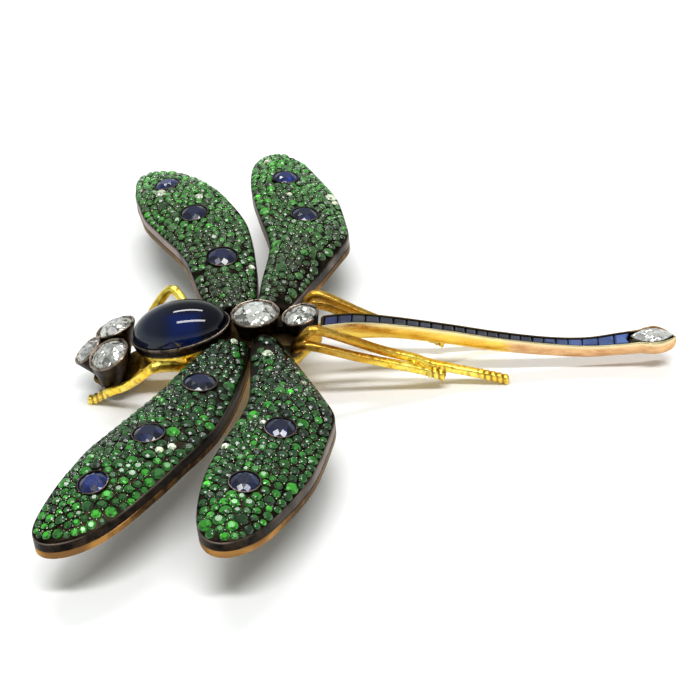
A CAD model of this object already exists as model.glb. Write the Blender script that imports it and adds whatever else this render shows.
import math
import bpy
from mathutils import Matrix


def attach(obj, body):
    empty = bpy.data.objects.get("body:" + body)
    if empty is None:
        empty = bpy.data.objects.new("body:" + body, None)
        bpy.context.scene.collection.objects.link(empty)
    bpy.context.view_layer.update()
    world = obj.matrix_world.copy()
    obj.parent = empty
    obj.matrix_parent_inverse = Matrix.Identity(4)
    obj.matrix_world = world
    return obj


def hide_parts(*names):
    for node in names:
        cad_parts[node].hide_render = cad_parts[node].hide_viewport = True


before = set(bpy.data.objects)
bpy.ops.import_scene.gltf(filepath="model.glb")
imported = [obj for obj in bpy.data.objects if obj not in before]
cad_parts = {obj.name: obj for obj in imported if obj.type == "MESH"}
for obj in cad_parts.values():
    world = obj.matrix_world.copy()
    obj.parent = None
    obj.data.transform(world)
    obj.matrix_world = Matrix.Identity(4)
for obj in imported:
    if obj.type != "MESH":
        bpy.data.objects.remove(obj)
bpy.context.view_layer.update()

from types import SimpleNamespace

import bmesh
import bpy
import numpy as np
from mathutils import Matrix, Vector, geometry

# Gold frame: the keel under the body, the pierced gallery under the cabochon and the six wire legs.
# They are cast and drawn in 18 carat gold, soldered to each other, then hammered and engraved by hand.
# The block that carries the wings is blackened like the silver round it.
MM = 0.001


class Tone:
    """A shader value that adds a Math node for each operator it meets."""

    def __init__(self, tree, socket):
        self.tree = tree
        self.socket = socket

    def math(self, operation, *values):
        return make_node(self.tree, "ShaderNodeMath", {"operation": operation}, dict(enumerate(values)))

    def __add__(self, other):
        return self.math("ADD", self, other)

    def __sub__(self, other):
        return self.math("SUBTRACT", self, other)

    def __mul__(self, other):
        return self.math("MULTIPLY", self, other)

    def __truediv__(self, other):
        return self.math("DIVIDE", self, other)

    def __rsub__(self, other):
        return self.math("SUBTRACT", other, self)

    def __rtruediv__(self, other):
        return self.math("DIVIDE", other, self)

    __radd__ = __add__
    __rmul__ = __mul__

    def either(self, other):
        return self.math("MAXIMUM", self, other)

    def both(self, other):
        return self.math("MINIMUM", self, other)

    def size(self):
        return self.math("ABSOLUTE", self)

    def step(self, low, high):
        """Smooth step from 0 at low to 1 at high."""
        sockets = dict(enumerate((self, low, high, 0.0, 1.0)))
        return make_node(self.tree, "ShaderNodeMapRange", {"interpolation_type": "SMOOTHSTEP"}, sockets)


def feed(tree, place, value):
    """Links a tone to a socket, or sets the socket to a plain value."""
    if isinstance(value, Tone):
        tree.links.new(value.socket, place)
    elif isinstance(value, tuple) and place.type == "RGBA":
        place.default_value = (*value, 1.0)
    else:
        place.default_value = value


def make_node(tree, kind, settings={}, sockets={}, out=0):
    """Adds a node: its settings are set first, then its sockets get their values or links."""
    made = tree.nodes.new(kind)
    for name, value in settings.items():
        setattr(made, name, value)
    for place, value in sockets.items():
        feed(tree, made.inputs[place], value)
    return Tone(tree, made.outputs[out])


class Finish:
    """The finish of one surface: its shader and the nodes that vary it, with places in millimetres."""

    def __init__(self, name, **constants):
        self.material = bpy.data.materials.new(name)
        self.material.use_nodes = True
        self.tree = self.material.node_tree
        self.shader = self.tree.nodes["Principled BSDF"]
        self.vary(**constants)
        spot = self.node("ShaderNodeTexCoord", out="Object")
        self.spot = self.vector("SCALE", spot, Scale=1 / MM)
        self.x, self.y, self.z = (
            self.node("ShaderNodeSeparateXYZ", {}, {0: self.spot}, out=axis) for axis in "XYZ"
        )

    def node(self, kind, settings={}, sockets={}, out=0):
        return make_node(self.tree, kind, settings, sockets, out)

    def vector(self, operation, *values, **named):
        sockets = {**dict(enumerate(values)), **named}
        return self.node("ShaderNodeVectorMath", {"operation": operation}, sockets)

    def noise(self, per_mm, detail=2.0, roughness=0.5, stretch=None):
        spot = self.vector("MULTIPLY", self.spot, stretch) if stretch else self.spot
        sockets = {"Vector": spot, "Scale": per_mm, "Detail": detail, "Roughness": roughness}
        return self.node("ShaderNodeTexNoise", {}, sockets)

    def cells(self, per_mm, out="Distance"):
        return self.node("ShaderNodeTexVoronoi", {}, {"Vector": self.spot, "Scale": per_mm}, out)

    def paint(self, name, out="Fac"):
        """A value or colour that was painted on the mesh."""
        return self.node("ShaderNodeAttribute", {"attribute_name": name}, out=out)

    def mix(self, share, first, second, way="MIX"):
        settings = {"data_type": "RGBA", "blend_type": way}
        return self.node("ShaderNodeMix", settings, {0: share, 6: first, 7: second}, out=2)

    def bump(self, height, depth_mm, strength):
        sockets = {"Height": height, "Distance": depth_mm * MM, "Strength": strength}
        self.vary(Normal=self.node("ShaderNodeBump", {}, sockets))

    def vary(self, **sockets):
        for socket, value in sockets.items():
            feed(self.tree, self.shader.inputs[socket.replace("_", " ")], value)


def settle(piece, finish, node=None, crease=35):
    """Gives a piece its finish and shading, and says which solid it stands for."""
    piece.data.materials.clear()
    piece.data.materials.append(finish.material)
    piece.data.shade_smooth()
    if crease is not None:
        piece.data.set_sharp_from_angle(angle=math.radians(crease))
    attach(piece, "root")
    if node:
        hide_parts(node)


scene = bpy.context.scene


def from_solid(name, node, voxel, rounds):
    """A copy of a solid with an even skin and softened edges."""
    piece = bpy.data.objects.new(name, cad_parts[node].data.copy())
    scene.collection.objects.link(piece)
    skin = piece.modifiers.new("even skin", "REMESH")
    skin.mode = "VOXEL"
    skin.voxel_size = voxel * MM
    soft = piece.modifiers.new("softened edges", "SMOOTH")
    soft.iterations = rounds
    mesh = bpy.data.meshes.new_from_object(piece.evaluated_get(bpy.context.evaluated_depsgraph_get()))
    piece.modifiers.clear()
    piece.data = mesh
    return piece


def rows_of(collection, key):
    """The three numbers of each member, as rows."""
    flat = np.zeros(len(collection) * 3)
    collection.foreach_get(key, flat)
    return flat.reshape(-1, 3)


def smooth_step(value, low, high):
    u = np.clip((value - low) / (high - low), 0, 1)
    return u * u * (3 - 2 * u)


def paint_points(piece, name, amount):
    """Paints a value from 0 to 1 on each point."""
    layer = piece.data.attributes.new(name, "FLOAT", "POINT")
    layer.data.foreach_set("value", np.clip(np.asarray(amount, float), 0, 1))


thorax_x = -15.893
bezel_x = -26.654
# Each foot: where it ends along X, which way it points, length of its ribbed end, height that it lies below
feet = [(-40.57, -1, 4.0, 2.6), (18.93, 1, 4.2, 2.4), (10.03, 1, 2.9, 3.4)]
feet_apart = 2.6
rib_pitch = 0.84
rib_height = 0.09
lost_in_smoothing = 0.09

gold_frame = from_solid("gold_frame", "body_frame", voxel=0.18, rounds=4)
spots = rows_of(gold_frame.data.vertices, "co") / MM
ribs = np.zeros(len(spots))
for end, way, ribbed, top in feet:
    back = (end - spots[:, 0]) * way
    low_and_wide = (spots[:, 2] < top) & (np.abs(spots[:, 1]) > feet_apart)
    wave = np.clip(np.cos(2 * math.pi * (back / rib_pitch - 0.35)), -0.6, 1)
    ribs += (back < ribbed) * (back > -0.3) * low_and_wide * wave * smooth_step(ribbed - back, 0, 0.4)
paint_points(gold_frame, "grooves", -ribs * 1.5)
outward = rows_of(gold_frame.data.vertex_normals, "vector")
spots += outward * (lost_in_smoothing + ribs * rib_height)[:, None]
spots[:, 2] = np.maximum(spots[:, 2], 0.0)
gold_frame.data.vertices.foreach_set("co", (spots * MM).ravel())

gold = Finish("hammered yellow gold", Metallic=1.0, Specular_Tint=(1.0, 0.95, 0.8))
strokes = gold.noise(1.3)
dents = gold.cells(1.1)
hollow = 1 - gold.node("ShaderNodeNewGeometry", out="Pointiness").step(0.44, 0.5)
warmth = gold.noise(0.35)
lit_gold = gold.mix(warmth.step(0.35, 0.65), (1.0, 0.68, 0.07), (1.0, 0.82, 0.16))
stained = (hollow * 0.5 + (1 - strokes.step(0.32, 0.54)) * 0.55).either(gold.paint("grooves"))
old_gold = gold.mix(stained, lit_gold, (0.34, 0.15, 0.02))
# The block between the wings, and the plate under the head, are dark with a ragged edge
ragged = (strokes - 0.5) * 1.6
along = gold.x + ragged
beside_wings = along.step(thorax_x - 8.2, thorax_x - 7.0)
before_waist = 1 - along.step(thorax_x + 5.6, thorax_x + 7.0)
high_up = (gold.z + ragged).step(5.2, 6.4)
near_keel = 1 - gold.y.size().step(4.2, 4.9)
plate_z = gold.z.step(1.1, 1.5).both(near_keel)
under_head = (1 - along.step(bezel_x - 8.2, bezel_x - 6.6)) * plate_z * 0.9
blackened = beside_wings.both(before_waist).both(high_up).both(near_keel).either(under_head)
behind_head = (1 - along.step(bezel_x - 5.4, bezel_x - 3.8)) * plate_z
amber = beside_wings.both(high_up).either(behind_head) * 0.7
old_gold = gold.mix(amber, old_gold, (0.42, 0.16, 0.02))
gold.vary(
    Base_Color=gold.mix(blackened * 0.94, old_gold, (0.02, 0.015, 0.012)),
    Roughness=0.28 + strokes * 0.16 + blackened * 0.2,
)
gold.bump(strokes * 0.6 + dents * 0.5, 0.16, 0.7)
settle(gold_frame, gold, "body_frame", crease=None)


# Collets: tapered cups of blackened silver, one for each large diamond, rolled up from sheet.
# Their rims are pinched over the stones' edges and stay bright where the rest has blackened.
# The three of the head share a base, and those of the thorax and the waist are soldered together.
def mesh_piece(name, points, faces, closed=True):
    """A mesh from points in millimetres, with the faces of closed forms turned outwards."""
    mesh = bpy.data.meshes.new(name)
    mesh.from_pydata([tuple(p) for p in np.asarray(points) * MM], [], [list(map(int, f)) for f in faces])
    if closed:
        shape = bmesh.new()
        shape.from_mesh(mesh)
        bmesh.ops.recalc_face_normals(shape, faces=shape.faces)
        shape.to_mesh(mesh)
        shape.free()
    piece = bpy.data.objects.new(name, mesh)
    scene.collection.objects.link(piece)
    return piece


def skin_faces(rows, count, ends="capped"):
    """Quads round a row of closed rings, whose ends are capped, open or joined."""
    faces = []
    for k in range(rows if ends == "joined" else rows - 1):
        low = k * count
        high = (k + 1) % rows * count
        for i in range(count):
            j = (i + 1) % count
            faces.append((low + i, low + j, high + j, high + i))
    if ends == "capped":
        faces.append(tuple(range(count)))
        faces.append(tuple(range((rows - 1) * count, rows * count)))
    return faces


def join(parts):
    """One list of points and faces from several."""
    points = []
    faces = []
    for part_points, part_faces in parts:
        shift = len(points)
        points.extend(part_points)
        faces.extend(tuple(i + shift for i in face) for face in part_faces)
    return points, faces


def tilted(x, y, z, lean_x=0.0, lean_y=0.0):
    """Place of a stone: its own X, Y and Z after a lean about X and then about Y, at a point."""
    turn = Matrix.Rotation(math.radians(lean_y), 3, "Y")
    turn = turn @ Matrix.Rotation(math.radians(lean_x), 3, "X")
    return np.array(turn), np.array((x, y, z), float)


thorax_rim_z = 11.4
collet_h = 3.0
collet_wall = 0.25
stone_gap = 0.1
seam = 0.1
stone_sizes = {"thorax": 6.1, "waist": 4.6, "eye_left": 5.3, "eye_right": 5.3, "front": 4.2}
rim_radius = {name: d / 2 + stone_gap + collet_wall for name, d in stone_sizes.items()}
cabochon_l = 13.8
cabochon_w = 9.3
bezel_pitch = 9.0
bezel_half = cabochon_l / 2 + stone_gap + collet_wall
bezel_rise = bezel_half * math.sin(math.radians(bezel_pitch))
bezel_z = thorax_rim_z - 1.1 - bezel_rise
bezel_front_x = bezel_x - bezel_half * math.cos(math.radians(bezel_pitch))
bezel_front_z = bezel_z - bezel_rise
eye_rim = rim_radius["eye_left"]
eye_x = bezel_front_x - 0.97 * eye_rim
eye_y = eye_rim + 0.4
eye_z = bezel_front_z - 0.1
front_x = eye_x - 0.69 * (eye_rim + rim_radius["front"])
front_z = eye_z - 0.5 * eye_rim
waist_pitch = 9
waist_half = rim_radius["waist"] * math.cos(math.radians(waist_pitch))
waist_x = thorax_x + rim_radius["thorax"] + 0.2 + waist_half
waist_z = thorax_rim_z - 0.55
eye_lean = 9
eye_pitch = 18
front_pitch = 37
places = {
    "thorax": tilted(thorax_x, 0, thorax_rim_z),
    "waist": tilted(waist_x, 0, waist_z, 0, -waist_pitch),
    "eye_left": tilted(eye_x, -eye_y, eye_z, eye_lean, -eye_pitch),
    "eye_right": tilted(eye_x, eye_y, eye_z, -eye_lean, -eye_pitch),
    "front": tilted(front_x, 0, front_z, 0, -front_pitch),
}
frame_top = thorax_rim_z - collet_h - seam
head_base_z = eye_z - 5.3
foot_share = 0.78
eye_foot_x = eye_x - 0.2
eye_foot_y = eye_y - 0.7
# Feet of the collets: where each stands and the radius there
collet_feet = {
    "thorax": ((thorax_x, 0, frame_top + seam), foot_share * rim_radius["thorax"]),
    "waist": ((waist_x + 0.3, 0, frame_top + seam), foot_share * rim_radius["waist"]),
    "eye_left": ((eye_foot_x, -eye_foot_y, head_base_z), 1.7),
    "eye_right": ((eye_foot_x, eye_foot_y, head_base_z), 1.7),
    "front": ((front_x + 0.82 * rim_radius["front"], 0, head_base_z), 1.5),
}
collet_sides = 56
# Pinched rim of a collet: how far outside its radius, how high, how wavy
pinched_rim = [
    (0.04, -0.25, 0.6), (0.03, -0.08, 1.0), (-0.08, 0.03, 1.0), (-0.24, 0.0, 1.6), (-0.33, -0.12, 1.6),
    (-0.36, -0.6, 0.0),
]
bore_share = 0.3
bore_drop = 1.6


def collet_parts(name, rng):
    """Outside, pinched rim and bore of one collet, from its foot to its tilted rim."""
    size = rim_radius[name]
    turn, rim_centre = places[name]
    foot_centre, foot_radius = collet_feet[name]
    angles = np.linspace(0, 2 * math.pi, collet_sides, endpoint=False)
    flat = np.stack([np.cos(angles), np.sin(angles), np.zeros(collet_sides)], 1)
    ripple = 1 + 0.012 * np.sin(angles * 9 + rng.uniform(0, 6)) + 0.01 * rng.uniform(-1, 1, collet_sides)

    def at_rim(radius, height, wavy=0.0):
        local = flat * (radius * (1 + (ripple - 1) * wavy))[:, None]
        return rim_centre + (local + [0, 0, height]) @ turn.T

    foot = np.array(foot_centre) + flat * foot_radius
    shoulder = at_rim(size, -0.4)
    rings = [foot + (shoulder - foot) * u for u in (0, 0.06, 0.25, 0.5, 0.75, 0.95, 1)]
    rings += [at_rim(size + out, height, wavy) for out, height, wavy in pinched_rim]
    rings.append(at_rim(bore_share * size, -bore_drop))
    return np.concatenate(rings), skin_faces(len(rings), collet_sides)


black_silver = Finish("blackened silver", Metallic=1.0)
tarnish = black_silver.noise(0.9, 4.0, 0.6)
rubbed = black_silver.paint("rubbed")
dark_silver = black_silver.mix(tarnish.step(0.35, 0.7), (0.008, 0.006, 0.005), (0.045, 0.03, 0.02))
black_silver.vary(
    Base_Color=black_silver.mix(rubbed * tarnish.step(0.3, 0.55), dark_silver, (0.4, 0.32, 0.26)),
    Roughness=0.34 - rubbed * 0.1 + tarnish * 0.15,
)
black_silver.bump(black_silver.noise(2.6, 3.0), 0.05, 0.6)


def rub_rims(piece, names):
    """Rubs the pinched rims of some collets bright."""
    spots = rows_of(piece.data.vertices, "co") / MM
    bright = np.zeros(len(spots))
    for name in names:
        turn, centre = places[name]
        local = (spots - centre) @ turn
        near = np.abs(np.hypot(local[:, 0], local[:, 1]) - rim_radius[name] + 0.1) < 0.35
        bright = np.maximum(bright, near * smooth_step(local[:, 2], -0.35, -0.05))
    paint_points(piece, "rubbed", bright * 0.8)


metal_rng = np.random.default_rng(11)
head_parts = [collet_parts(name, metal_rng) for name in ("eye_left", "eye_right", "front")]
# Base of the head: height above its foot and how far outside the collets' feet
plinth_profile = [(0, 0.0), (0.75, 0.0), (0.85, -0.1)]
plinth = []
for height, grow in plinth_profile:
    for name, start in (("front", 120), ("eye_left", 240), ("eye_right", 0)):
        (x, y, z), radius = collet_feet[name]
        radius += grow
        for angle in np.radians(np.arange(start, start + 121, 12)):
            plinth.append((x + radius * math.cos(angle), y + radius * math.sin(angle), z + height))
plinth_rows = len(plinth_profile)
head_parts.append((plinth, skin_faces(plinth_rows, len(plinth) // plinth_rows)))
head = mesh_piece("head_silver", *join(head_parts))
rub_rims(head, ("eye_left", "eye_right", "front"))
settle(head, black_silver, "head_collets")

# The solder between thorax and waist: a block from inside one collet to inside the other
link_half = 0.25 * stone_sizes["waist"]
link_start = thorax_x + 2.8
link_end = thorax_x + 4.3
link_box = []
for z in (frame_top + seam, frame_top + 1.3):
    link_box += [(link_start, -link_half, z), (link_end, -link_half, z)]
    link_box += [(link_end, link_half, z), (link_start, link_half, z)]
body_parts = [collet_parts(name, metal_rng) for name in ("thorax", "waist")]
body_parts.append((link_box, skin_faces(2, 4)))
body_silver = mesh_piece("body_silver", *join(body_parts))
rub_rims(body_silver, ("thorax", "waist"))
settle(body_silver, black_silver, "body_collets")


# Bezel: a thin oval band of blackened silver that is burnished over the edge of the cabochon.
# Its lip is rubbed bright, and the band stands on the gold gallery.
def oval_rings(profile, sides, l, w, place):
    """Rings round an oval, each a row of the profile: how far outside the oval and how high."""
    turn, centre = place
    angles = np.linspace(0, 2 * math.pi, sides, endpoint=False)
    rings = []
    for out, height in profile:
        x = (l / 2 + out) * np.cos(angles)
        y = (w / 2 + out) * np.sin(angles)
        rings.append(centre + np.stack([x, y, np.full(sides, height)], 1) @ turn.T)
    return np.concatenate(rings)


bezel_place = tilted(bezel_x, 0, bezel_z, 0, -bezel_pitch)
band_sides = 96
band_profile = [
    (-0.02, -1.4), (0.1, -1.38), (0.2, -1.2), (0.26, -0.9), (0.3, -0.5), (0.36, -0.3), (0.37, -0.1),
    (0.3, 0.03), (0.2, 0.08), (0.1, 0.03), (0.06, -0.1), (0.08, -0.9), (-0.9, -1.0), (-0.9, -1.4),
]
band_rubbed = [0, 0, 0, 0, 0, 0.1, 0.3, 0.6, 0.7, 0.4, 0.1, 0, 0, 0]
band = oval_rings(band_profile, band_sides, cabochon_l, cabochon_w, bezel_place)
bezel = mesh_piece("bezel_silver", band, skin_faces(len(band_profile), band_sides, "joined"))
paint_points(bezel, "rubbed", np.repeat(band_rubbed, band_sides))
settle(bezel, black_silver, "cabochon_bezel")


# Tail channel: a long trough of red and yellow gold with a rounded underside and thin walls.
# It is drawn and filed by hand, and its end widens into the pointed seat of the last diamond.
def table_value(rows, column, t):
    """Smooth value of a column of a table whose first column holds the stations."""
    rows = np.asarray(rows, float)
    t = np.asarray(t, float)
    stations = rows[:, 0]
    values = rows[:, column]
    last = len(rows) - 1
    after = np.minimum(np.arange(last + 1) + 1, last)
    before = np.maximum(np.arange(last + 1) - 1, 0)
    slopes = (values[after] - values[before]) / (stations[after] - stations[before])
    i = np.clip(np.searchsorted(stations, t, side="right") - 1, 0, last - 1)
    step = stations[i + 1] - stations[i]
    u = (t - stations[i]) / step
    v = 1 - u
    return (
        values[i] * (1 + 2 * u) * v * v
        + values[i + 1] * u * u * (1 + 2 * v)
        + step * u * v * (slopes[i] * v - slopes[i + 1] * u)
    )


tail_l = 49.3
tail_x = waist_x + waist_half + 0.2
tail_z = waist_z - 1.15
tail_depth = 2.9
tail_strip_w = 2.0
tail_wall = 0.3
groove_depth = 0.9
marquise_l = 5.9
marquise_w = 3.3
marquise_t = 1 - (marquise_l / 2 + stone_gap + tail_wall) / tail_l
# Station, top, depth, half width of the groove
tail_shape = [
    (0, 0.975, 0.7, 0.5), (0.04, 0.995, 0.9, 0.5), (0.1, 1, 1, 0.47), (0.2, 0.93, 0.87, 0.38),
    (0.36, 0.76, 0.84, 0.31), (0.5, 0.59, 0.81, 0.31), (0.64, 0.457, 0.74, 0.31), (0.75, 0.403, 0.7, 0.42),
    (0.85, 0.435, 0.7, 0.61), (0.94, 0.474, 0.76, 0.68), (1, 0.42, 0.6, 0.68),
]


def tail_top(t):
    return tail_z * table_value(tail_shape, 1, t)


def strip_half(t):
    return tail_strip_w * table_value(tail_shape, 3, t)


def pointed(t, l, w):
    """Half width of the pointed outline of the marquise at a station, zero outside it."""
    u = (np.asarray(t) - marquise_t) * tail_l / (l / 2)
    return np.where(np.abs(u) < 1, w / 2 * (1 - u * u), 0)


seat_l = marquise_l + 2.4 * stone_gap
seat_w = marquise_w + 3 * stone_gap


def groove_half(t):
    seat = pointed(t, seat_l, seat_w)
    return np.where(t < marquise_t, np.maximum(strip_half(t) + stone_gap, seat), seat)


def channel_half(t):
    wall = pointed(t, seat_l + 2 * tail_wall, seat_w + 2.5 * tail_wall)
    return np.where(t < marquise_t, np.maximum(strip_half(t) + stone_gap + tail_wall, wall), wall + 0.15)


groove_start = 1.5 * tail_wall / tail_l
groove_end = 1 - 1.3 * tail_wall / tail_l
abrupt = 0.0002
channel_stations = np.concatenate([
    1.2 * tail_wall / tail_l * (1 - np.cos(np.linspace(0, math.pi / 2, 6))),
    [groove_start - abrupt, groove_start],
    np.linspace(groove_start, groove_end, 170)[1:-1],
    [groove_end, groove_end + abrupt],
    np.linspace(groove_end, 1, 7)[1:],
])
filed_edge = 0.06
channel_points = []
channel_dark = []
channel_rim = []
for t in channel_stations:
    start_round = 0.6 + 0.4 * math.sqrt(min(1, t * tail_l / 0.35))
    end_round = 0.5 + 0.5 * math.sqrt(min(1, (1 - t) * tail_l / 0.5))
    ends = min(1.0, start_round, end_round)
    half = float(channel_half(t)) * ends
    top = float(tail_top(t))
    depth = tail_depth * float(table_value(tail_shape, 2, t)) * ends
    inner = min(float(groove_half(t)), half - 0.2)
    drop = groove_depth if groove_start <= t <= groove_end else 0.0
    profile = [(-half + filed_edge, top), (-half, top - 0.07)]
    for a in np.radians(np.linspace(0, 180, 23))[1:-1]:
        bulge = math.copysign(abs(math.cos(a)) ** 0.35, math.cos(a))
        profile.append((-half * bulge, top - depth * math.sin(a) ** 0.62))
    rim = [(inner + 0.04, top), (inner, top - min(drop, filed_edge)), (inner, top - drop)]
    profile += [(half, top - 0.07), (half - filed_edge, top), *rim, *((-y, z) for y, z in reversed(rim))]
    channel_points += [(tail_x + tail_l * float(t), y, z) for y, z in profile]
    beside_row = t < marquise_t - 0.5 * marquise_l / tail_l
    far_rim = [0.6, 0.8, 0.9] if beside_row else [0, 0, 0]
    channel_dark += [0] * (len(profile) - 8) + far_rim + [1, 1, 1, 1, 0]
    channel_rim += [1, 0.8] + [0] * (len(profile) - 6) + [0 if beside_row else 1] * 3 + [1]
channel = mesh_piece("tail_gold", channel_points, skin_faces(len(channel_stations), len(profile)))
paint_points(channel, "groove", channel_dark)
paint_points(channel, "near_rim", channel_rim)

tail_gold = Finish("filed red and yellow gold", Metallic=1.0, Specular_Tint=(1.0, 0.9, 0.72))
filed = tail_gold.noise(1.3, 3.0, 0.55, (0.35, 1.0, 1.0))
wash = tail_gold.noise(0.25, 2.0, 0.5, (1.0, 0.4, 1.6))
redder = (tail_gold.x + wash * 3).step(19.6, 21.4)
light_tail = tail_gold.mix(redder, (0.98, 0.72, 0.13), (0.8, 0.5, 0.25))
deep_tail = tail_gold.mix(redder, (0.85, 0.5, 0.09), (0.55, 0.28, 0.12))
filed_gold = tail_gold.mix(filed.step(0.3, 0.7), deep_tail, light_tail)
filed_gold = tail_gold.mix(tail_gold.paint("near_rim"), filed_gold, (1.0, 0.86, 0.5))
tail_gold.vary(
    Base_Color=tail_gold.mix(tail_gold.paint("groove") * 0.95, filed_gold, (0.02, 0.014, 0.01)),
    Roughness=0.2 + filed * 0.2,
)
tail_gold.bump(filed + tail_gold.cells(0.8) * 0.4, 0.12, 0.5)
settle(channel, tail_gold, "tail_channel", crease=32)


# Wings: each is a domed plate of blackened silver, bored for its stones, on a plate of red gold.
# The silver is cut to the outline with a fine raised border, and the gold behind it has the same outline.
# They are narrow at the body and widen to a rounded tip, with a slight twist of each pair's own.
wing_root_y = 4.0
wing_arch = 2.2
wing_dome = 1.4
silver_t = 1.3
gold_t = 0.9
# Station, middle of the breadth, half breadth, rise, twist
forewing_shape = [
    (0, -0.085, 0.185, 0, 0), (0.12, -0.118, 0.285, 0.15, 0.1), (0.31, -0.162, 0.36, 0.58, 0.3),
    (0.5, -0.242, 0.475, 0.8, 0), (0.6, -0.294, 0.505, 0.9, -0.1), (0.72, -0.35, 0.475, 1, -0.1),
    (0.86, -0.43, 0.49, 0.65, -0.5), (1, -0.51, 0.58, 0.15, -0.8),
]
hindwing_shape = [
    (0, 0.043, 0.163, 0, 0.75), (0.14, 0.078, 0.258, 0.15, 0.75), (0.33, 0.129, 0.38, 0.35, 0.65),
    (0.42, 0.138, 0.458, 0.37, 0.65), (0.54, 0.113, 0.49, 0.4, 0.95), (0.68, 0.079, 0.5, 0.47, 1.1),
    (0.86, 0.028, 0.48, 0.44, 1), (1, -0.009, 0.54, 0.44, 0.5),
]


def unit(vectors):
    return vectors / np.linalg.norm(vectors, axis=-1, keepdims=True)


class Wing(SimpleNamespace):
    """One wing's sizes, given by name, and the surface that they make."""

    def half(self, t):
        tip_round = np.sqrt(np.clip(1 - (np.maximum(t - self.tip, 0) / (1 - self.tip)) ** 2, 0, 1))
        return self.breadth * table_value(self.shape, 2, t) * tip_round, tip_round

    def edge_x(self, t, s):
        """Place along X at station t, with s from -1 at the front edge to 1 at the back edge."""
        half, tip_round = self.half(t)
        cut = self.corner_cut * smooth_step(t, 0.68, 1.0) * tip_round * (1 - s) / 2
        return thorax_x + self.span * table_value(self.shape, 1, t) + half * s + cut

    def point(self, t, s, down=0.0):
        """Point at station t and share s of the breadth, on the face or below it."""
        t = np.asarray(t, float)
        s = np.asarray(s, float)
        half, tip_round = self.half(t)
        x = self.edge_x(t, s)
        y = self.side * (wing_root_y + self.span * t)
        z = (
            self.root_z
            + wing_arch * table_value(self.shape, 3, t)
            - self.twist * table_value(self.shape, 4, t) * s * tip_round
            + wing_dome * (1 - s * s) * np.minimum(1, tip_round + 0.1)
            - down
        )
        return np.stack(np.broadcast_arrays(x, y, z), -1)

    def over(self, x, y):
        """Station and share of the breadth over a point of the plan."""
        t = np.clip((self.side * np.asarray(y) - wing_root_y) / self.span, 0, 0.9995)
        front = self.edge_x(t, -1.0)
        back = self.edge_x(t, 1.0)
        return t, np.clip(2 * (np.asarray(x) - front) / (back - front) - 1, -1, 1)

    def seat(self, t, s):
        """Point on the face, with its normal and two directions along the face."""
        here = self.point(t, s)
        along = self.point(np.minimum(t + 0.004, 0.9999), s) - here
        across = self.point(t, np.minimum(s + 0.01, 1.01)) - here
        normal = unit(np.cross(across, along) * self.side)
        across = unit(across)
        return here, normal, across, np.cross(normal, across)

    def outline(self):
        """Points round the plan of the wing."""
        t = self.stations(70)
        front = self.edge_x(t, -1.0)
        back = self.edge_x(t, 1.0)
        y = self.side * (wing_root_y + self.span * t)
        root = np.linspace(front[0], back[0], 12)[1:-1]
        return np.concatenate([
            np.stack([front, y], 1),
            np.stack([back, y], 1),
            np.stack([root, np.full(len(root), y[0])], 1),
        ])

    def stations(self, steps):
        return np.concatenate([
            np.linspace(0, self.tip, steps, endpoint=False),
            self.tip + (1 - self.tip) * np.sin(np.linspace(0, math.radians(89.9), steps // 2)),
        ])


# Stones of a wing are its sapphires: station, share of the half breadth, diameter
forewing = {
    "shape": forewing_shape, "tip": 0.72, "span": 41.2, "breadth": 14.6,
    "root_z": frame_top + 0.3, "twist": wing_arch / 2,
    "stones": [(0.8, -0.15, 3.78), (0.57, 0, 4.09), (0.285, 0.05, 4.4)],
}
hindwing = {
    "shape": hindwing_shape, "tip": 0.66, "span": 43.4, "breadth": 13.2,
    "root_z": frame_top + 0.7, "twist": 0.9, "corner_cut": 0.0,
    "stones": [(0.775, -0.08, 3.78), (0.52, 0.05, 3.96)],
}
wings = []
# How much a forewing's corner is cut, and how bright the front and back walls of each wing are worn
for label, side, corner_cut, fore_worn, hind_worn in (
    ("left", -1, 0.0, (0.1, 0.05), (0.1, 0.4)),
    ("right", 1, 3.0, (0.7, 0.05), (0.1, 0.7)),
):
    fore_sizes = {**forewing, "corner_cut": corner_cut}
    wings.append(Wing(name=f"forewing_{label}", side=side, worn_walls=fore_worn, **fore_sizes))
    wings.append(Wing(name=f"hindwing_{label}", side=side, worn_walls=hind_worn, **hindwing))

border = 0.15
border_soft = 0.1
sink = 0.12


def plate(wing, top, low, bordered):
    """Rings of a wing's plate between two depths below its face, and how far each point is rubbed."""
    shares = np.linspace(-1, 1, 27)
    ring_points = []
    rubbed_here = []
    for t in wing.stations(84):
        half = max(float(wing.half(t)[0]), 0.02)
        edge = min(border / half, 0.4)
        soft = min(border_soft / half, 0.15)
        bottom = [(-s, low - top, 0.0) for s in (-1.0, -0.7, -0.35, 0, 0.35, 0.7, 1.0)]
        if bordered:
            wear = math.sin(math.pi * min(1, max(0, t * 1.25 - 0.15)))
            front_wall, back_wall = (worn * wear for worn in wing.worn_walls)
            lip = [(-1.0, 0.2), (-1.0, 0.1), (-1 + soft, 0.0), (-1 + edge, 0.0), (-1 + edge + soft, sink)]
            across = [(s, d, r) for (s, d), r in zip(lip, (front_wall, 0.3, 0.6, 0.3, 0.0))]
            across += [(s, sink, 0.0) for s in shares[2:-2] * (1 - edge - soft)]
            across += [(-s, d, r) for (s, d), r in zip(reversed(lip), (0.0, 0.3, 0.6, 0.3, back_wall))]
            wall_end = low - top - 0.15
            bottom = [(1.0, wall_end, back_wall), *bottom, (-1.0, wall_end, front_wall)]
        else:
            across = [(-1.0, 0.05, 0.0)] + [(s, 0.0, 0.0) for s in shares[1:-1]] + [(1.0, 0.05, 0.0)]
        for s, down, worn_here in across + bottom:
            ring_points.append(wing.point(t, s, top + down))
            rubbed_here.append(worn_here)
        count = len(across) + len(bottom)
    return ring_points, skin_faces(len(ring_points) // count, count), rubbed_here


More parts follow.
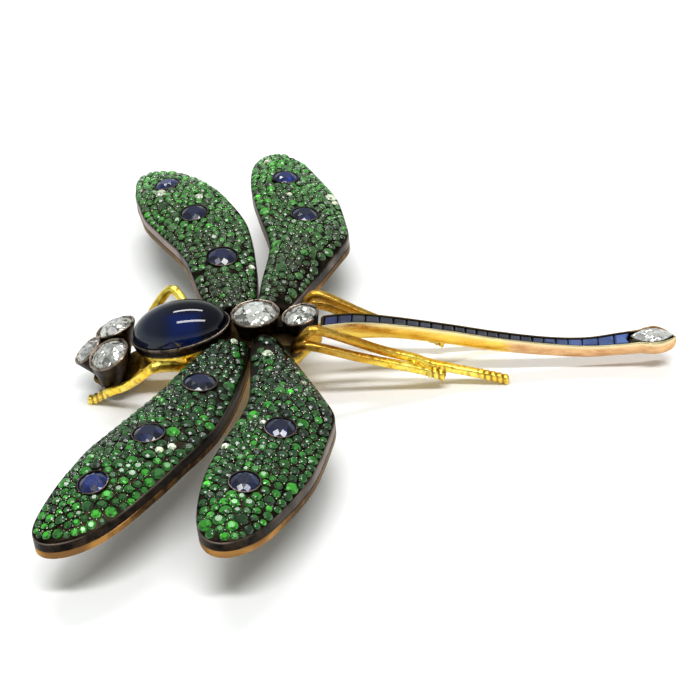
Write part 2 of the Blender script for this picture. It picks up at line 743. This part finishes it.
red_gold = Finish("worn red gold", Metallic=1.0, Specular_Tint=(1.0, 0.86, 0.7))
grime = red_gold.noise(0.5, 4.0, 0.6)
clean = red_gold.mix(red_gold.noise(0.2, 1.0).step(0.4, 0.6), (0.2, 0.1, 0.035), (0.42, 0.21, 0.06))
out_along = red_gold.y.size() + grime * 14
handled = out_along.step(44, 52).either((1 - out_along.step(16, 26)) * 0.6)
red_gold.vary(
    Base_Color=red_gold.mix(handled.either(grime.step(0.5, 0.68) * 0.5), (0.05, 0.028, 0.016), clean),
    Roughness=0.28 + grime * 0.2,
)
red_gold.bump(red_gold.noise(1.5, 3.0), 0.08, 0.5)

wing_silver = Finish("blackened wing silver", Metallic=1.0)
soot = wing_silver.noise(0.7, 4.0, 0.6)
bright = wing_silver.paint("rubbed") * wing_silver.noise(0.16).step(0.35, 0.6)
sooty = wing_silver.mix(soot.step(0.35, 0.7), (0.006, 0.005, 0.004), (0.035, 0.024, 0.016))
wing_silver.vary(
    Base_Color=wing_silver.mix(bright, sooty, (0.34, 0.26, 0.22)),
    Roughness=0.36 + soot * 0.14 - bright * 0.1,
)
wing_silver.bump(wing_silver.noise(1.8, 3.0), 0.06, 0.6)

for wing in wings:
    points, faces, rubbed_here = plate(wing, 0.0, silver_t, True)
    silver = mesh_piece(f"{wing.name}_silver", points, faces)
    paint_points(silver, "rubbed", rubbed_here)
    settle(silver, wing_silver, wing.name, crease=40)
    points, faces, _ = plate(wing, silver_t + seam, silver_t + seam + gold_t, False)
    family, label = wing.name.split("_")
    back = mesh_piece(f"{wing.name}_gold", points, faces)
    settle(back, red_gold, f"{family}_back_{label}", crease=40)


# Garnets: the faces of the wings are paved with small round green garnets, in no strict order.
# Each sits in its own bore, held by grains raised from the silver between the stones.
# The stones near the body are smaller and darker, and a few catch the light.
def cut_template(sides, table, crown, skirt):
    """Points and faces of a round cut: table, star facets, main facets, girdle facets and a skirt."""
    points = []
    for count, radius, height, start in (
        (sides, table, crown, 0),
        (sides, (1 + table) / 2 + 0.03, crown * 0.55, 0.5),
        (2 * sides, 1.0, 0.0, 0),
        (2 * sides, 0.86, -skirt, 0),
    ):
        for k in range(count):
            a = (k + start) * 2 * math.pi / count
            points.append((radius * math.cos(a), radius * math.sin(a), height))
    faces = [tuple(range(sides))]
    for k in range(sides):
        main = sides + k
        corner = 2 * sides + 2 * k
        faces.append((k, main, (k + 1) % sides))
        faces.append((k, sides + (k - 1) % sides, corner, main))
        faces.append((main, corner, corner + 1))
        faces.append((main, corner + 1, 2 * sides + (2 * k + 2) % (2 * sides)))
    girdle = range(2 * sides, 4 * sides)
    for k in girdle:
        after = k + 1 if k + 1 in girdle else girdle[0]
        faces.append((k, k + 2 * sides, after + 2 * sides, after))
    return np.array(points), faces


def colour_faces(piece, colours):
    """Paints each face of a piece in its own colour."""
    layer = piece.data.attributes.new("cut", "FLOAT_COLOR", "FACE")
    flat = np.ones((len(piece.data.polygons), 4))
    flat[:, :3] = colours
    layer.data.foreach_set("color", flat.ravel())


def set_stones(name, template, centres, normals, across, radii):
    """One mesh of many stones, each the template turned to the face and scaled to its size."""
    shape, shape_faces = template
    sideways = np.cross(normals, across)
    directions = np.stack([across, sideways, normals], 1)
    points = centres[:, None, :] + np.reshape(radii, (-1, 1, 1)) * (shape @ directions)
    faces = [tuple(i + k * len(shape) for i in face) for k in range(len(centres)) for face in shape_faces]
    return mesh_piece(name, points.reshape(-1, 3), faces, closed=False)


def between(first, second):
    """Steps from each point of the second set to each one of the first, and their lengths."""
    steps = first[:, None, :] - second[None, :, :]
    return steps, np.hypot(steps[..., 0], steps[..., 1])


paved_share = 0.93
rim_gap = 0.4
collar_room = 0.12
smallest_garnet = 0.44
largest_garnet = 0.98
thin_wall = 0.03
push_rounds = 260


def spread(wing, rng):
    """Places and radii of the paving stones: scattered, then pushed apart until they fit."""
    rim = wing.outline()
    low = rim.min(0)
    high = rim.max(0)
    big = np.array([wing.point(t, s)[:2] for t, s, _ in wing.stones])
    big_r = np.array([d / 2 + collar_room for _, _, d in wing.stones])
    spots = []
    radii = []
    filled = 0.0
    mean_half = float(np.mean(wing.half(np.linspace(0, 1, 60))[0]))
    area = 2 * mean_half * wing.span - float((math.pi * big_r ** 2).sum())
    while filled < paved_share * area:
        x, y = rng.uniform(low, high)
        t, _ = wing.over(x, y)
        inside = wing.edge_x(t, -1.0) + rim_gap < x < wing.edge_x(t, 1.0) - rim_gap
        if not inside or (np.hypot(*(big - (x, y)).T) < big_r).any():
            continue
        r = (0.58 + 0.12 * float(t)) * math.exp(rng.normal(0, 0.2))
        r = min(largest_garnet, max(smallest_garnet, r))
        spots.append((x, y))
        radii.append(r)
        filled += math.pi * (r + 0.04) ** 2
    spots = np.array(spots)
    radii = np.array(radii)
    reach = radii[:, None] + radii[None, :] + 0.06
    np.fill_diagonal(reach, 0)
    each = np.arange(len(spots))
    tip_y = wing_root_y + wing.span
    for _ in range(push_rounds):
        apart, gap = between(spots, spots)
        gap += 1e-6
        push = np.clip(reach - gap, 0, None) / gap
        spots = spots + 0.32 * (apart * push[..., None]).sum(1)
        from_big, gap = between(spots, big)
        push = np.clip(radii[:, None] + big_r[None, :] - gap, 0, None) / gap
        spots += 0.8 * (from_big * push[..., None]).sum(1)
        from_rim, gap = between(spots, rim)
        nearest = gap.argmin(1)
        gap = gap[each, nearest]
        away = from_rim[each, nearest] / gap[:, None]
        spots += 0.8 * away * np.clip(radii + 0.05 - gap, 0, None)[:, None]
        t, _ = wing.over(spots[:, 0], spots[:, 1])
        spots[:, 0] = np.clip(spots[:, 0], wing.edge_x(t, -1.0) + radii, wing.edge_x(t, 1.0) - radii)
        spots[:, 1] = wing.side * np.clip(wing.side * spots[:, 1], wing_root_y + radii, tip_y - radii)
    _, gap = between(spots, spots)
    np.fill_diagonal(gap, 9)
    share = radii[:, None] / (radii[:, None] + radii[None, :])
    radii = np.minimum(radii, ((gap - thin_wall) * share).min(1))
    keep = radii > 0.3
    return spots[keep], radii[keep], big, big_r


def grains(spots, radii, big, big_r, rng):
    """Places and radii of the grains between the stones: the gaps of their triangles."""
    every = np.concatenate([spots, big])
    sizes = np.concatenate([radii, big_r])
    triangles = geometry.delaunay_2d_cdt([Vector(p) for p in every], [], [], 0, 1e-6)[2]
    found = []
    for corners in triangles:
        corner = every[list(corners)]
        size = sizes[list(corners)]
        sides = np.hypot(*(corner - np.roll(corner, 1, 0)).T)
        if sides.max() > 1.5 * (size.sum() * 2 / 3) + 0.25:
            continue
        centre = (corner / (size[:, None] ** 0.5)).sum(0) / (1 / size ** 0.5).sum()
        room = (np.hypot(*(corner - centre).T) - size).min()
        if room > 0.02:
            found.append((*centre, min(0.15, room + 0.06) * rng.uniform(0.75, 1.1)))
    return np.array(found)


garnet = Finish("green garnet", IOR=1.76, Specular_IOR_Level=0.35)
garnet_cut = garnet.paint("cut", "Color")
leafy = garnet.mix(1.0, garnet_cut, (0.55, 0.9, 0.4), "MULTIPLY")
garnet.vary(
    Base_Color=garnet.mix(garnet.noise(2.2).step(0.4, 0.7) * 0.5, garnet_cut, leafy),
    Roughness=0.14 + garnet.noise(3.0) * 0.16,
)

grain_silver = Finish("bright silver grains", Metallic=1.0)
worn_grain = grain_silver.noise(1.1).step(0.38, 0.62)
grain_silver.vary(
    Base_Color=grain_silver.mix(worn_grain, (0.08, 0.065, 0.05), (0.5, 0.43, 0.37)),
    Roughness=0.16 + grain_silver.noise(4.0) * 0.15,
)
melee_cut = cut_template(8, 0.55, 0.36, 0.4)
# A grain is a small ball of 80 triangles
ball = bmesh.new()
bmesh.ops.create_icosphere(ball, subdivisions=2, radius=1.0)
bead = np.array([v.co for v in ball.verts]), [tuple(v.index for v in f.verts) for f in ball.faces]
ball.free()


def facet_shades(rng, stones, faces_each, spark):
    """Brightness of each facet: most are mid or dark, the table is clearer, a few flash."""
    chances = [0.26, 0.26, 0.24, 0.16, 0.08]
    shade = rng.choice([0.25, 0.5, 0.8, 1.15, 1.7], size=(stones, faces_each), p=chances)
    shade[:, 0] = rng.choice([0.7, 1.0, 1.35], size=stones, p=[0.3, 0.4, 0.3])
    flash = rng.random((stones, faces_each)) < spark
    return np.where(flash, 2.6, shade)


garnet_tones = np.array([
    (0.004, 0.022, 0.005), (0.006, 0.048, 0.007), (0.01, 0.095, 0.009), (0.018, 0.18, 0.013),
    (0.036, 0.31, 0.02), (0.16, 0.42, 0.08),
])
for number, wing in enumerate(wings):
    rng = np.random.default_rng(40 + number)
    spots, radii, big, big_r = spread(wing, rng)
    t, s = wing.over(spots[:, 0], spots[:, 1])
    here, normal, across, sideways = wing.seat(t, s)
    normal = unit(normal + rng.normal(0, 0.07, normal.shape))
    spin = rng.uniform(0, 2 * math.pi, len(t))
    across = across * np.cos(spin)[:, None] + sideways * np.sin(spin)[:, None]
    across = unit(across - normal * (across * normal).sum(1, keepdims=True))
    stones = set_stones(f"{wing.name}_garnets", melee_cut, here - normal * 0.03, normal, across, radii)
    far = wing.side == 1
    lightness = 0.9 + 0.5 * far + 2.6 * t ** 1.2 + rng.normal(0, 0.7 if far else 1.0, len(t))
    base = garnet_tones[np.clip(lightness, 0, 4.99).astype(int)] + np.array((0.022, 0.024, 0.012)) * far
    white = rng.random(len(t)) < (0.006 if far else 0.02) + 0.025 * t
    base = np.where(white[:, None], (0.75, 0.82, 0.62), base)
    shades = facet_shades(rng, len(t), len(melee_cut[1]), 0.03)
    colour_faces(stones, np.clip(base[:, None, :] * shades[..., None], 0, 0.95).reshape(-1, 3))
    settle(stones, garnet, crease=1)
    beads = grains(spots, radii, big, big_r, rng)
    t, s = wing.over(beads[:, 0], beads[:, 1])
    here, normal, across, _ = wing.seat(t, s)
    grain = set_stones(f"{wing.name}_grains", bead, here, normal, across, beads[:, 2])
    settle(grain, grain_silver, crease=None)


# Sapphires of the wings: round blue stones with flat tables, set level with the paving.
# Each lies in a thin collar of blackened silver and is held by its edge.
sapphire = Finish("blue sapphire", IOR=1.77, Specular_IOR_Level=0.35)
sapphire_cut = sapphire.paint("cut", "Color")
inky = sapphire.mix(1.0, sapphire_cut, (0.5, 0.6, 0.95), "MULTIPLY")
sapphire.vary(
    Base_Color=sapphire.mix(sapphire.noise(0.9, 3.0).step(0.35, 0.7) * 0.6, sapphire_cut, inky),
    Roughness=0.1 + sapphire.noise(2.0) * 0.16,
)
sapphire_shape = cut_template(10, 0.52, 0.3, 0.5)
sapphire_tones = [(0.007, 0.02, 0.14), (0.006, 0.01, 0.04), (0.005, 0.008, 0.034)]
collar_sides = 40
collar_profile = [(0.02, -0.2), (0.0, 0.02), (0.06, 0.1), (0.15, 0.08), (0.2, -0.02), (0.2, -0.2)]
collar_rubbed = [0, 0.2, 0.5, 0.4, 0.1, 0]
collar_faces = skin_faces(len(collar_profile), collar_sides, "open")
for number, wing in enumerate(wings):
    rng = np.random.default_rng(70 + number)
    family, label = wing.name.split("_")
    for index, (t, s, size) in enumerate(wing.stones):
        here, normal, across, sideways = wing.seat(np.array([t]), np.array([s]))
        stone_name = f"{family}_{label}_stone_{index + 1}"
        stone = set_stones(stone_name, sapphire_shape, here - normal * 0.1, normal, across, size / 2)
        tone = np.array(sapphire_tones[1 if wing.name == "hindwing_left" else index])
        shades = facet_shades(rng, 1, len(sapphire_shape[1]), 0.05)[0]
        colour_faces(stone, np.clip(tone * shades[:, None], 0, 0.9))
        settle(stone, sapphire, f"{family}_sapphire_{label}_{index + 1}", crease=1)
        turn = np.stack([across[0], sideways[0], normal[0]], 1)
        collar = oval_rings(collar_profile, collar_sides, size, size, (turn, here[0]))
        ring = mesh_piece(f"{family}_{label}_collar_{index + 1}", collar, collar_faces, closed=False)
        paint_points(ring, "rubbed", np.repeat(collar_rubbed, collar_sides))
        settle(ring, wing_silver)


# Sapphires of the tail: a single row of slim step-cut stones, fitted end to end in the channel.
# The first ones and those near the tip are bluer, and those between are nearly black.
tail_stone_count = 24
row_gap = 1.2 * stone_gap
row_start = groove_start + row_gap / 2 / tail_l
row_end = marquise_t - (marquise_l / 2 + row_gap) / tail_l
# Share of the stones, and share of the row's length that they fill
row_shape = [(0, 0), (0.29, 0.31), (0.81, 0.775), (1, 1)]
shares = np.arange(tail_stone_count + 1) / tail_stone_count
joints = row_start + (row_end - row_start) * table_value(row_shape, 1, shares)
row_rng = np.random.default_rng(5)
# Rings of a stone from its base to its table: how far in from its outline, and how far below the top
step_rows = [(0.22, groove_depth - stone_gap), (0.0, 0.2), (0.14, 0.06), (0.26, 0.0)]
row_parts = []
row_colours = []
for i in range(tail_stone_count):
    notch = 0.8 if i == tail_stone_count - 1 else 1
    stone_points = []
    for inset, level in step_rows:
        for along_share, across_share in ((0, -1), (1, -1), (notch, 0), (1, 1), (0, 1)):
            a = joints[i] + (row_gap / 2 + inset) / tail_l
            b = joints[i + 1] - (row_gap / 2 + inset) / tail_l
            t = a + (b - a) * along_share
            y = across_share * (float(strip_half(t)) - inset)
            stone_points.append((tail_x + tail_l * t, y, float(tail_top(t)) - level))
    stone_faces = skin_faces(len(step_rows), 5)
    row_parts.append((stone_points, stone_faces))
    blackness = 0.5 * i if i < 2 else 1 - float(smooth_step(i, 15, 22))
    blue = np.array((0.014, 0.02, 0.07)) if i < 2 else np.array((0.045, 0.075, 0.19))
    tone = blue * (1 - blackness) + np.array((0.026, 0.027, 0.036)) * blackness
    shade = row_rng.choice([0.6, 0.9, 1.5, 2.4], size=len(stone_faces), p=[0.3, 0.3, 0.25, 0.15])
    shade[-1] = row_rng.uniform(0.9, 2.0)
    row_colours += list(np.clip(tone * shade[:, None], 0, 0.9))
row_stones = mesh_piece("tail_stones", *join(row_parts))
colour_faces(row_stones, row_colours)
settle(row_stones, sapphire, "tail_sapphires", crease=1)


# Cabochon: a high oval dome of deep blue sapphire, polished, with a lighter glow low on one side.
# It rests on a ledge inside the bezel.
cabochon_h = 4.0
dome_sides = 160
# Share of the outline and height of each ring
dome = [(0.94, -1.1), (1.0, -0.8), (1.0, -0.3)]
dome += [(math.cos(a), math.sin(a) * cabochon_h) for a in np.radians(np.linspace(0, 89.5, 70))]
dome_points = np.concatenate([
    oval_rings([(0, height)], dome_sides, share * cabochon_l, share * cabochon_w, bezel_place)
    for share, height in dome
])
cabochon = mesh_piece("cabochon_stone", dome_points, skin_faces(len(dome), dome_sides))
deep_blue = Finish("cabochon sapphire", IOR=1.77, Specular_IOR_Level=0.18, Roughness=0.03)
silk = deep_blue.noise(0.22, 3.0)
glow_x = ((deep_blue.x - (bezel_x + 1.0)) / 2.7).size()
glow_y = ((deep_blue.y + 3.2) / 1.7).size()
glow = 1 - (glow_x.either(glow_y) + (silk - 0.5) * 0.7).step(0.4, 1.3)
darker = (deep_blue.x + silk * 4).step(bezel_x - 2.5, bezel_x + 3.5)
night_blue = deep_blue.mix(darker, (0.009, 0.013, 0.03), (0.002, 0.002, 0.006))
deep_blue.vary(Base_Color=deep_blue.mix(glow, night_blue, (0.001, 0.009, 0.075)))
settle(cabochon, deep_blue, "sapphire_cabochon", crease=None)


# Diamonds: old-cut round stones with high crowns in closed cups, and a pointed one at the tail's tip.
# Their many facets mirror the room in patches of white, grey and black.
diamond = Finish("old cut diamond", IOR=2.2, Specular_IOR_Level=0.6)
patch = diamond.cells(2.3, out="Color")
sparkle = diamond.node("ShaderNodeSeparateColor", {}, {0: patch})
mirrored = diamond.mix(sparkle.step(0.4, 0.75), (0.03, 0.03, 0.022), (0.66, 0.66, 0.6))
diamond.vary(
    Base_Color=diamond.mix(sparkle.step(0.05, 0.95) * 0.75, diamond.paint("cut", "Color"), mirrored),
    Roughness=0.06 + sparkle * 0.1,
    Metallic=0.1 + sparkle * 0.2,
)
# Each small patch leans its own way, like the facets seen through the stone
lean = diamond.vector("SCALE", diamond.vector("SUBTRACT", patch, (0.5, 0.5, 0.5)), Scale=0.5)
facing = diamond.vector("ADD", diamond.node("ShaderNodeNewGeometry", out="Normal"), lean)
diamond.vary(Normal=diamond.vector("NORMALIZE", facing))
diamond_cut = cut_template(8, 0.5, 0.34, 0.5)
girdle_below_rim = 0.22
diamond_rng = np.random.default_rng(21)


def diamond_colours(faces_each):
    """Greys of one stone's facets, from nearly black to white, each with a faint tint."""
    grey = diamond_rng.choice([0.03, 0.12, 0.3, 0.65], size=faces_each, p=[0.2, 0.28, 0.28, 0.24])
    tint = diamond_rng.uniform(-0.03, 0.03, (faces_each, 3))
    return np.clip(grey[:, None] * (np.array((1.0, 0.99, 0.96)) + tint), 0, 1)


for name, (turn, centre) in places.items():
    across, _, normal = turn.T[:, None]
    girdle_centre = centre - normal * girdle_below_rim
    stone = set_stones(f"{name}_stone", diamond_cut, girdle_centre, normal, across, stone_sizes[name] / 2)
    colour_faces(stone, diamond_colours(len(diamond_cut[1])))
    node = {"eye_left": "eye_diamond_left", "eye_right": "eye_diamond_right"}.get(name, f"{name}_diamond")
    settle(stone, diamond, node, crease=1)

tip_points, tip_faces = cut_template(12, 0.55, 0.5 / (marquise_w / 2), 0.4)
angles = np.arctan2(tip_points[:, 1], tip_points[:, 0])
share = np.hypot(tip_points[:, 0], tip_points[:, 1])
tip_shape = np.stack([
    share * marquise_l / 2 * np.cos(angles),
    share * np.sign(np.sin(angles)) * marquise_w / 2 * np.sin(angles) ** 2,
    tip_points[:, 2] * marquise_w / 2,
], 1)
tip_slope = math.atan(float(tail_top(marquise_t + 0.02) - tail_top(marquise_t - 0.02)) / (0.04 * tail_l))
tip_place = (tail_x + tail_l * marquise_t, 0, float(tail_top(marquise_t)) - 0.02)
turn, centre = tilted(*tip_place, 0, -math.degrees(tip_slope))
tip_stone = mesh_piece("tail_tip_stone", centre + tip_shape @ turn.T, tip_faces, closed=False)
colour_faces(tip_stone, 0.35 + 0.6 * diamond_colours(len(tip_faces)))
settle(tip_stone, diamond, "tail_diamond", crease=1)


# Pin: a straight gold stem between two posts under the forewings, which the photograph doesn't show.
# It keeps its plain form and gets the colour and fine scratches of drawn gold.
pin_gold = Finish("drawn gold", Metallic=1.0)
drawn = pin_gold.noise(2.0, 3.0, 0.5, (1.0, 0.1, 1.0))
pin_gold.vary(
    Base_Color=pin_gold.mix(drawn.step(0.3, 0.7), (0.7, 0.4, 0.1), (0.95, 0.62, 0.2)),
    Roughness=0.22 + drawn * 0.2,
)
pin_gold.bump(drawn, 0.04, 0.5)
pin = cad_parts["brooch_pin"]
pin.data.materials.clear()
pin.data.materials.append(pin_gold.material)


# Studio: a white table, two long soft lights above it, and a long lens from the left wings' side.
# None of it belongs to the brooch.
table_half = 3000
corners = [(x * table_half, y * table_half, 0) for x, y in ((-1, -1), (1, -1), (1, 1), (-1, 1))]
floor = mesh_piece("white_table", corners, [(0, 1, 2, 3)], closed=False)
white = Finish("white card", Specular_IOR_Level=0.2)
white.vary(
    Base_Color=white.mix(white.noise(0.01), (0.93, 0.935, 0.94), (0.96, 0.96, 0.965)),
    Roughness=0.6 + white.noise(0.2) * 0.1,
)
floor.data.materials.append(white.material)

# Both lights face straight down
for name, place, width, depth, watts in (
    ("rear_softbox", (-0.1, 0.58, 1.0), 0.72, 0.13, 6.2),
    ("front_softbox", (0.12, -0.25, 1.0), 0.9, 0.14, 8.3),
):
    lamp = bpy.data.lights.new(name, "AREA")
    lamp.shape = "RECTANGLE"
    lamp.size = width
    lamp.size_y = depth
    lamp.energy = watts
    stand = bpy.data.objects.new(name, lamp)
    stand.location = place
    stand.rotation_euler = Vector((0, 0, -1)).to_track_quat("-Z", "Y").to_euler()
    scene.collection.objects.link(stand)

world = bpy.data.worlds.new("studio air")
world.use_nodes = True
air = world.node_tree
background = air.nodes["Background"].inputs
view = make_node(air, "ShaderNodeTexCoord", out="Generated")
up = make_node(air, "ShaderNodeSeparateXYZ", {}, {0: view}, out="Z")
feed(air, background["Color"], (0.94, 1.0, 0.94))
feed(air, background["Strength"], 1.0 - up.step(0.05, 0.5) * 0.65)
scene.world = world
scene.view_settings.view_transform = "Standard"
scene.view_settings.exposure = 0.0

# Place in millimetres; turn, look down and roll in degrees
camera_place = (17.85, -218.86, 156.12)
camera_turn = 5.48
camera_down = 34.62
camera_roll = 5.7
lens = bpy.data.cameras.new("long_lens")
lens.lens = 97.4
lens.sensor_width = 36.0
lens.clip_start = 0.01
camera = bpy.data.objects.new("long_lens", lens)
pose = Matrix.Rotation(math.radians(camera_turn), 4, "Z")
pose = pose @ Matrix.Rotation(math.radians(90 - camera_down), 4, "X")
pose = pose @ Matrix.Rotation(math.radians(-camera_roll), 4, "Z")
pose.translation = Vector(camera_place) * MM
camera.matrix_world = pose
scene.collection.objects.link(camera)
scene.camera = camera
